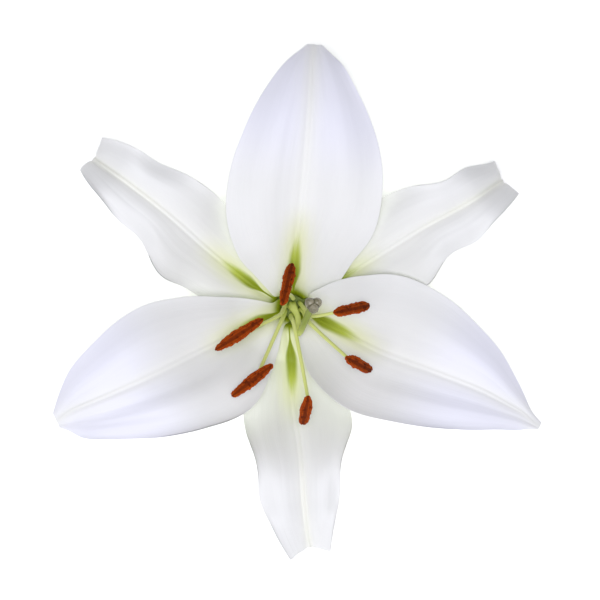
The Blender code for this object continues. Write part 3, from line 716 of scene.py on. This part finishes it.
def stigma_surface():
    """Three rounded lobes round a hollow: a turned profile whose radius dips between the lobes.

    Slits run from the hollow to each dip, and the lobes are covered in tiny seeded papillae.
    """
    path = np.array(PISTIL_PATH, float)
    tip = path[-1]
    up = unit(path[-1] - path[-2])
    across = unit(np.cross((0.0, 1.0, 0.0), up))
    other = np.cross(up, across)
    rows, columns = STIGMA_GRID
    angle = np.linspace(0, 2 * math.pi, columns, endpoint=False)
    profile = spline(STIGMA_PROFILE, np.linspace(0, len(STIGMA_PROFILE) - 1, rows))
    lobed = np.clip(profile[:, 0] - 2.0, 0, 1.2) / 1.2
    dent = 0.5 - 0.5 * np.cos(STIGMA_LOBES * (angle - math.radians(150)))
    radius = profile[:, :1] * (1 - LOBE_DEPTH * lobed[:, None] * dent[None, :] ** 1.5)
    above = rising(profile[:, 1:], 0.0, 1.0)
    slit = dent[None, :] ** 14 * above
    rise = profile[:, 1:] - 0.9 * dent[None, :] * rising(profile[:, :1], 0.6, 2.8) * above
    rise = rise - 0.35 * slit
    rings = (
        tip
        + across * (radius * np.cos(angle))[..., None]
        + other * (radius * np.sin(angle))[..., None]
        + up * rise[..., None]
    )
    bumps = 0.6 * lumps(rings, 0.6, SEED + 90) + 0.5 * lumps(rings, 0.3, SEED + 91)
    rings = rings + unit(rings - tip) * (0.12 * bumps * (1 - slit))[..., None]
    points, faces = ringed_surface(rings[::-1], tip - up * STIGMA_UNDER, tip + up * STIGMA_HOLLOW)
    return points, faces, {"slit": ring_values(slit[::-1], 0, 1), "bumps": ring_values(bumps[::-1])}


def receptacle_surface():
    """The receptacle and the cut stalk, turned about the flower's axis, with six shallow flutes."""
    profile = spline(RECEPTACLE_PROFILE, np.linspace(0, len(RECEPTACLE_PROFILE) - 1, RECEPTACLE_GRID[0]))
    angle = np.linspace(0, 2 * math.pi, RECEPTACLE_GRID[1], endpoint=False)[None, :]
    height = profile[:, 1:]
    flute = FLUTE * rising(height, 4, 7) * (1 - rising(height, 8.4, 9.2)) * np.cos(6 * angle)
    radius = profile[:, :1] * (1 + flute)
    rings = np.stack([radius * np.cos(angle), radius * np.sin(angle), height + 0 * angle], axis=-1)
    low = (0, 0, RECEPTACLE_PROFILE[0][1])
    high = (0, 0, RECEPTACLE_PROFILE[-1][1])
    points, faces = ringed_surface(rings, low, high)
    return points, faces, {}


class Finish:
    """A material's node tree, with a short way to add each kind of node that the finishes use."""

    def __init__(self, name, roughness, specular):
        self.material = bpy.data.materials.new(name)
        self.material.use_nodes = True
        self.nodes = self.material.node_tree.nodes
        self.links = self.material.node_tree.links
        self.shader = self.nodes["Principled BSDF"]
        self.shader.inputs["Roughness"].default_value = roughness
        self.shader.inputs["Specular IOR Level"].default_value = specular

    def join(self, value, socket):
        """Feeds a socket from another node, or sets its value."""
        if isinstance(value, bpy.types.NodeSocket):
            self.links.new(value, socket)
        else:
            socket.default_value = value

    def attribute(self, name):
        """What the piece's mesh holds under this name."""
        node = self.nodes.new("ShaderNodeAttribute")
        node.attribute_name = name
        return node.outputs["Fac"]

    def math(self, operation, first, second=0.0):
        node = self.nodes.new("ShaderNodeMath")
        node.operation = operation
        self.join(first, node.inputs[0])
        self.join(second, node.inputs[1])
        return node.outputs[0]

    def step(self, value, start, end):
        """0 at start and 1 at end, smooth between."""
        node = self.nodes.new("ShaderNodeMapRange")
        node.interpolation_type = "SMOOTHSTEP"
        self.join(value, node.inputs["Value"])
        self.join(start, node.inputs["From Min"])
        self.join(end, node.inputs["From Max"])
        return node.outputs["Result"]

    def fall(self, value, start, end):
        """1 at start and 0 at end, smooth between."""
        return self.math("SUBTRACT", 1.0, self.step(value, start, end))

    def bell(self, value, width):
        """1 where the value is 0, falling off as a bell of this width."""
        share = self.math("DIVIDE", value, width)
        return self.math("EXPONENT", self.times(self.times(share, share), -1.0))

    def plus(self, first, second):
        return self.math("ADD", first, second)

    def times(self, first, second):
        return self.math("MULTIPLY", first, second)

    def mix(self, share, first, second):
        """The first colour where share is 0, the second where it is 1."""
        node = self.nodes.new("ShaderNodeMix")
        node.data_type = "RGBA"
        self.join(share, node.inputs["Factor"])
        self.join(first, node.inputs[6])
        self.join(second, node.inputs[7])
        return node.outputs[2]

    def vector(self, x, y, z=0.0):
        node = self.nodes.new("ShaderNodeCombineXYZ")
        self.join(x, node.inputs[0])
        self.join(y, node.inputs[1])
        self.join(z, node.inputs[2])
        return node.outputs[0]

    def place(self):
        """Object coordinates, in metres."""
        return self.nodes.new("ShaderNodeTexCoord").outputs["Object"]

    def noise(self, vector, scale, detail=2.0, roughness=0.5):
        node = self.nodes.new("ShaderNodeTexNoise")
        self.join(vector, node.inputs["Vector"])
        node.inputs["Scale"].default_value = scale
        node.inputs["Detail"].default_value = detail
        node.inputs["Roughness"].default_value = roughness
        return node.outputs["Fac"]

    def cells(self, vector, scale):
        node = self.nodes.new("ShaderNodeTexVoronoi")
        self.join(vector, node.inputs["Vector"])
        node.inputs["Scale"].default_value = scale
        return node.outputs["Distance"]

    def colour(self, value):
        self.join(value, self.shader.inputs["Base Color"])

    def roughness(self, value):
        self.join(value, self.shader.inputs["Roughness"])

    def relief(self, height, depth, strength=1.0):
        """A bump of this depth in metres."""
        node = self.nodes.new("ShaderNodeBump")
        node.inputs["Strength"].default_value = strength
        node.inputs["Distance"].default_value = depth
        self.join(height, node.inputs["Height"])
        self.join(node.outputs["Normal"], self.shader.inputs["Normal"])

    def glow_through(self, weight, scale):
        """Light that spreads this many metres under the skin."""
        self.shader.inputs["Subsurface Weight"].default_value = weight
        self.shader.inputs["Subsurface Radius"].default_value = (1.0, 1.0, 1.0)
        self.shader.inputs["Subsurface Scale"].default_value = scale


def tepal_finish(name, colours, blade, near, cream, opens, broad):
    """White blade, cream midrib, green nectary furrow, greenish back, faint veins along the blade.

    blade and near are the whites far from the throat and near it. They are painted light and shade: the
    inner tepals' cool far white is a painted highlight tint, and the near white is the neutral white of
    shade, greyer on the outer tepals as painted shade under the inner ones. cream is how strong the
    midrib's line is. The furrow has its full width, twice broad, where the reach is opens, and its green
    fades where past, the distance beyond its end, comes to 0.
    """
    f = Finish(name, 0.5, 0.35)
    reach = f.attribute("reach")
    past = f.attribute("past")
    across = f.attribute("across")
    share = f.attribute("share")
    station = f.attribute("station")
    front = f.attribute("front")
    distance = f.math("ABSOLUTE", across)

    streak = f.noise(f.vector(f.times(across, 0.55), f.times(reach, 0.035)), 1.0, 3.0, 0.6)
    cloud = f.noise(f.place(), 55.0, 3.0, 0.5)
    fine = f.noise(f.vector(f.times(share, 38.0), f.times(reach, 0.05)), 1.0, 2.0, 0.55)

    # Painted light and shade: the far white carries the highlight's cool tint, and the near white is the
    # neutral or greyer white of shade.
    colour = f.mix(f.fall(reach, 46.0, 78.0), blade, near)
    warm = f.times(f.bell(distance, f.plus(3.0, f.times(streak, 3.0))), 0.7)
    colour = f.mix(warm, colour, colours.warm)
    line = f.times(f.bell(distance, 1.3), f.times(f.step(reach, 40.0, 80.0), cream))
    colour = f.mix(line, colour, colours.cream)
    wide = f.plus(3.6, f.times(streak, 3.8))
    halo = f.times(f.bell(distance, wide), f.fall(past, -5.0, 16.0))
    colour = f.mix(f.times(halo, 0.9), colour, colours.halo)
    ragged = f.plus(past, f.times(f.math("SUBTRACT", streak, 0.5), 10.0))
    widening = f.times(f.step(reach, opens - 10.0, opens), f.fall(past, -8.0, 6.0))
    spear = f.plus(0.3, f.times(widening, broad - 0.3))
    edge = f.math("DIVIDE", distance, spear)
    blurred = f.plus(0.25, f.times(f.fall(past, -18.0, 0.0), 0.3))
    inside = f.fall(edge, blurred, 1.3)
    lime = f.times(inside, f.fall(ragged, -8.0, 3.0))
    colour = f.mix(lime, colour, colours.lime)
    olive = f.times(inside, f.fall(ragged, -17.0, -4.0))
    colour = f.mix(olive, colour, colours.olive)
    colour = f.mix(f.fall(station, 1.9, 3.3), colour, colours.throat)

    keel = f.times(f.bell(distance, 1.6), f.fall(reach, 20.0, 95.0))
    green_base = f.fall(reach, 12.0, 46.0)
    behind = f.mix(f.math("MAXIMUM", keel, f.times(green_base, 0.8)), colours.behind, colours.keel)
    colour = f.mix(front, behind, colour)

    shade = f.plus(0.98, f.times(f.times(fine, cloud), 0.06))
    tone = f.nodes.new("ShaderNodeVectorMath")
    tone.operation = "MULTIPLY"
    f.join(colour, tone.inputs[0])
    f.join(f.vector(shade, shade, shade), tone.inputs[1])
    f.colour(tone.outputs[0])
    f.roughness(f.plus(0.42, f.times(streak, 0.16)))
    skin = f.cells(f.place(), 9000.0)
    f.relief(f.plus(f.times(fine, 0.8), f.times(skin, 0.08)), 0.00012, 0.5)
    f.glow_through(0.2, 0.0012)
    return f.material


def filament_finish(colours):
    """Pale green, a little yellower towards the throat, with faint clouds."""
    f = Finish("filament_green", 0.42, 0.45)
    along = f.attribute("along")
    cloud = f.noise(f.place(), 400.0)
    share = f.plus(f.step(along, 0.1, 0.6), f.times(f.math("SUBTRACT", cloud, 0.5), 0.3))
    f.colour(f.mix(share, colours.filament_foot, colours.filament))
    f.relief(cloud, 0.0001, 0.3)
    f.glow_through(0.2, 0.001)
    return f.material


def anther_finish(colours):
    """Rust-brown pollen in grains, with a painted highlight on the lumps, painted shade in the dips between
    them, and dark in the furrows.
    """
    f = Finish("anther_pollen", 0.86, 0.12)
    furrow = f.attribute("furrow")
    grain = f.attribute("grain")
    dust = f.cells(f.place(), 4200.0)
    mottle = f.noise(f.place(), 1500.0, 3.0, 0.6)
    # Painted highlight on the raised lumps, where the mottle allows.
    light = f.times(f.step(grain, 0.0, 0.8), f.step(mottle, 0.4, 0.7))
    colour = f.mix(light, colours.pollen, colours.pollen_highlight)
    # Painted shade in the dips between the lumps, with the dark furrows and slits.
    hollow = f.plus(f.times(f.fall(grain, -0.8, -0.1), 0.75), f.times(furrow, 0.85))
    colour = f.mix(f.math("MINIMUM", hollow, 1.0), colour, colours.furrow)
    f.colour(colour)
    f.relief(f.plus(f.times(dust, -1.0), mottle), 0.00012, 0.8)
    return f.material


def style_finish(colours):
    """Yellow green ovary and lower style, darker olive towards the stigma, with faint clouds."""
    f = Finish("style_olive", 0.4, 0.45)
    along = f.attribute("along")
    cloud = f.noise(f.place(), 350.0, 3.0)
    share = f.plus(f.step(along, 0.62, 0.82), f.times(f.math("SUBTRACT", cloud, 0.5), 0.25))
    f.colour(f.mix(share, colours.ovary, colours.style))
    f.relief(cloud, 0.00015, 0.3)
    f.glow_through(0.15, 0.001)
    return f.material


def stigma_finish(colours):
    """Grey, a little glossy and wet, with dark olive clouds and slits, and painted shade in the dips
    between the papillae.
    """
    f = Finish("stigma_grey", 0.32, 0.55)
    slit = f.attribute("slit")
    bumps = f.attribute("bumps")
    cloud = f.noise(f.place(), 420.0, 3.0, 0.6)
    # Dark in the slits, painted shade in the dips between the papillae, and dark olive clouds.
    dark = f.plus(slit, f.times(f.fall(bumps, -0.7, 0.2), 0.35))
    dark = f.plus(dark, f.times(f.step(cloud, 0.45, 0.6), 0.6))
    f.colour(f.mix(f.math("MINIMUM", dark, 1.0), colours.stigma, colours.stigma_dark))
    f.relief(f.cells(f.place(), 5200.0), 0.0001, 0.5)
    f.shader.inputs["Coat Weight"].default_value = 0.25
    f.shader.inputs["Coat Roughness"].default_value = 0.2
    return f.material


def receptacle_finish(colours):
    """Fresh green with faint clouds, paler on the cut face under the stalk."""
    f = Finish("receptacle_green", 0.45, 0.4)
    place = f.place()
    cloud = f.noise(place, 260.0, 4.0, 0.6)
    split = f.nodes.new("ShaderNodeSeparateXYZ")
    f.join(place, split.inputs[0])
    cut = f.fall(split.outputs["Z"], 0.95 * MM, 1.25 * MM)
    mottled = f.mix(f.times(cloud, 0.5), colours.receptacle, colours.ovary)
    f.colour(f.mix(cut, mottled, colours.cut))
    f.relief(f.noise(place, 900.0, 3.0), 0.0002, 0.4)
    return f.material


def add_piece(node, surface, material):
    """Adds one fine piece, given in millimetres round the flower's axis, in place of its node."""
    points, faces, values = surface
    name = "fine_" + node
    placed = np.asarray(points) * MM + np.array([AXIS.x, AXIS.y, 0.0])
    mesh = bpy.data.meshes.new(name)
    mesh.from_pydata(placed.tolist(), [], faces if isinstance(faces, list) else faces.tolist())
    mesh.update()
    for key, numbers in values.items():
        attribute = mesh.attributes.new(key, "FLOAT", "POINT")
        attribute.data.foreach_set("value", np.asarray(numbers, np.float32))
    mesh.polygons.foreach_set("use_smooth", np.ones(len(mesh.polygons), bool))
    mesh.materials.append(material)
    piece = bpy.data.objects.new(name, mesh)
    bpy.context.scene.collection.objects.link(piece)
    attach(piece, "root")
    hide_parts(node)
    return piece


def add_tepals(tepals, form, sizes, material):
    """Adds the tepals of one kind."""
    for node, tepal in tepals.items():
        add_piece(node, blade_surface(tepal, form, sizes), material)


class LILY_OT_inner_tepals(bpy.types.Operator):
    """Add the three broad inner tepals"""

    bl_idname = "lily.inner_tepals"
    bl_label = "Inner tepals"

    def execute(self, context):
        settings = context.scene.lily
        colours = settings.colours
        material = tepal_finish(
            "inner_tepal_white", colours, colours.blade, colours.near,
            cream=0.15, opens=16.0, broad=2.6,
        )
        add_tepals(INNER_TEPALS, INNER_FORM, settings.sizes, material)
        return {"FINISHED"}


class LILY_OT_outer_tepals(bpy.types.Operator):
    """Add the three narrower, waved outer tepals"""

    bl_idname = "lily.outer_tepals"
    bl_label = "Outer tepals"

    def execute(self, context):
        settings = context.scene.lily
        colours = settings.colours
        material = tepal_finish(
            "outer_tepal_white", colours, colours.outer, colours.outer_near_shade,
            cream=0.4, opens=22.0, broad=2.3,
        )
        add_tepals(OUTER_TEPALS, OUTER_FORM, settings.sizes, material)
        return {"FINISHED"}


class LILY_OT_filaments(bpy.types.Operator):
    """Add the six filaments"""

    bl_idname = "lily.filaments"
    bl_label = "Filaments"

    def execute(self, context):
        settings = context.scene.lily
        material = filament_finish(settings.colours)
        for name, stamen in STAMENS.items():
            surface = filament_surface(stamen, settings.sizes)
            add_piece("filament_" + name, surface, material)
        return {"FINISHED"}


class LILY_OT_anthers(bpy.types.Operator):
    """Add the six anthers, covered in pollen"""

    bl_idname = "lily.anthers"
    bl_label = "Anthers"

    def execute(self, context):
        settings = context.scene.lily
        material = anther_finish(settings.colours)
        for number, (name, stamen) in enumerate(STAMENS.items()):
            surface = anther_surface(stamen, number, settings.sizes)
            add_piece("anther_" + name, surface, material)
        return {"FINISHED"}


class LILY_OT_pistil(bpy.types.Operator):
    """Add the ovary with its style"""

    bl_idname = "lily.pistil"
    bl_label = "Pistil"

    def execute(self, context):
        material = style_finish(context.scene.lily.colours)
        add_piece("pistil", pistil_surface(), material)
        return {"FINISHED"}


class LILY_OT_stigma(bpy.types.Operator):
    """Add the three-lobed stigma"""

    bl_idname = "lily.stigma"
    bl_label = "Stigma"

    def execute(self, context):
        material = stigma_finish(context.scene.lily.colours)
        add_piece("stigma", stigma_surface(), material)
        return {"FINISHED"}


class LILY_OT_receptacle(bpy.types.Operator):
    """Add the receptacle with its cut stalk"""

    bl_idname = "lily.receptacle"
    bl_label = "Receptacle"

    def execute(self, context):
        material = receptacle_finish(context.scene.lily.colours)
        add_piece("receptacle", receptacle_surface(), material)
        return {"FINISHED"}


def add_light(name, power, size, place, target):
    """A round soft light of this width that faces the target."""
    light = bpy.data.lights.new(name, "AREA")
    light.shape = "DISK"
    light.size = size
    light.energy = power
    light.color = DAYLIGHT
    lamp = bpy.data.objects.new(name, light)
    lamp.location = place
    aim = np.array(target) - np.array(place)
    flat = math.hypot(aim[0], aim[1])
    lamp.rotation_euler = (math.atan2(flat, -aim[2]), 0, math.atan2(-aim[0], aim[1]))
    bpy.context.scene.collection.objects.link(lamp)


class LILY_OT_stage(bpy.types.Operator):
    """Add the floor, the lights and the camera"""

    bl_idname = "lily.stage"
    bl_label = "Stage"

    def execute(self, context):
        settings = context.scene.lily
        half = settings.stage.floor / 2
        mesh = bpy.data.meshes.new("floor")
        corners = [(-half, -half, 0), (half, -half, 0), (half, half, 0), (-half, half, 0)]
        mesh.from_pydata(corners, [], [(0, 1, 2, 3)])
        mesh.update()
        f = Finish("floor_pale", 0.9, 0.1)
        cloud = f.noise(f.place(), 3.0)
        f.colour(f.mix(f.times(cloud, 0.04), settings.colours.floor, settings.colours.blade))
        f.shader.inputs["Emission Color"].default_value = (1, 1, 1, 1)
        f.shader.inputs["Emission Strength"].default_value = FLOOR_GLOW
        mesh.materials.append(f.material)
        floor = bpy.data.objects.new("floor", mesh)
        context.scene.collection.objects.link(floor)

        world = bpy.data.worlds.new("even_light")
        world.use_nodes = True
        background = world.node_tree.nodes["Background"]
        background.inputs["Color"].default_value = (*DAYLIGHT, 1)
        background.inputs["Strength"].default_value = settings.stage.sky
        context.scene.world = world
        middle = (AXIS.x, AXIS.y, VIEW_HEIGHT)
        add_light("key_light", settings.stage.key, KEY_WIDTH, KEY_PLACE, middle)
        add_light("front_light", settings.stage.front, FRONT_WIDTH, FRONT_PLACE, middle)

        camera = bpy.data.cameras.new("camera")
        camera.sensor_width = SENSOR
        camera.lens = SENSOR * CAMERA_RISE / (PICTURE * PIXEL)
        camera.clip_end = 20.0
        viewer = bpy.data.objects.new("camera", camera)
        viewer.location = (AXIS.x + VIEW_CENTRE[0], AXIS.y + VIEW_CENTRE[1], VIEW_HEIGHT + CAMERA_RISE)
        context.scene.collection.objects.link(viewer)
        context.scene.camera = viewer
        context.scene.view_settings.view_transform = "Standard"
        return {"FINISHED"}


OPERATORS = (
    LILY_OT_inner_tepals,
    LILY_OT_outer_tepals,
    LILY_OT_filaments,
    LILY_OT_anthers,
    LILY_OT_pistil,
    LILY_OT_stigma,
    LILY_OT_receptacle,
    LILY_OT_stage,
)


class LILY_PT_sidebar(bpy.types.Panel):
    """The pieces of the bloom and their settings"""

    bl_idname = "LILY_PT_sidebar"
    bl_label = "Oriental lily"
    bl_space_type = "VIEW_3D"
    bl_region_type = "UI"
    bl_category = "Lily"

    def draw(self, context):
        layout = self.layout
        settings = context.scene.lily
        for operator in OPERATORS:
            layout.operator(operator.bl_idname)
        for group in (settings.sizes, settings.colours, settings.stage):
            box = layout.box()
            for key in group.bl_rna.properties.keys():
                if key not in ("rna_type", "name"):
                    box.prop(group, key)


CLASSES = (LilySizes, LilyColours, LilyStage, LilySettings, *OPERATORS, LILY_PT_sidebar)


def register():
    for kind in CLASSES:
        bpy.utils.register_class(kind)
    bpy.types.Scene.lily = bpy.props.PointerProperty(type=LilySettings)


def unregister():
    del bpy.types.Scene.lily
    for kind in reversed(CLASSES):
        bpy.utils.unregister_class(kind)


def main():
    register()
    bpy.ops.lily.inner_tepals()
    bpy.ops.lily.outer_tepals()
    bpy.ops.lily.filaments()
    bpy.ops.lily.anthers()
    bpy.ops.lily.pistil()
    bpy.ops.lily.stigma()
    bpy.ops.lily.receptacle()
    bpy.ops.lily.stage()


if __name__ == "__main__":
    main()
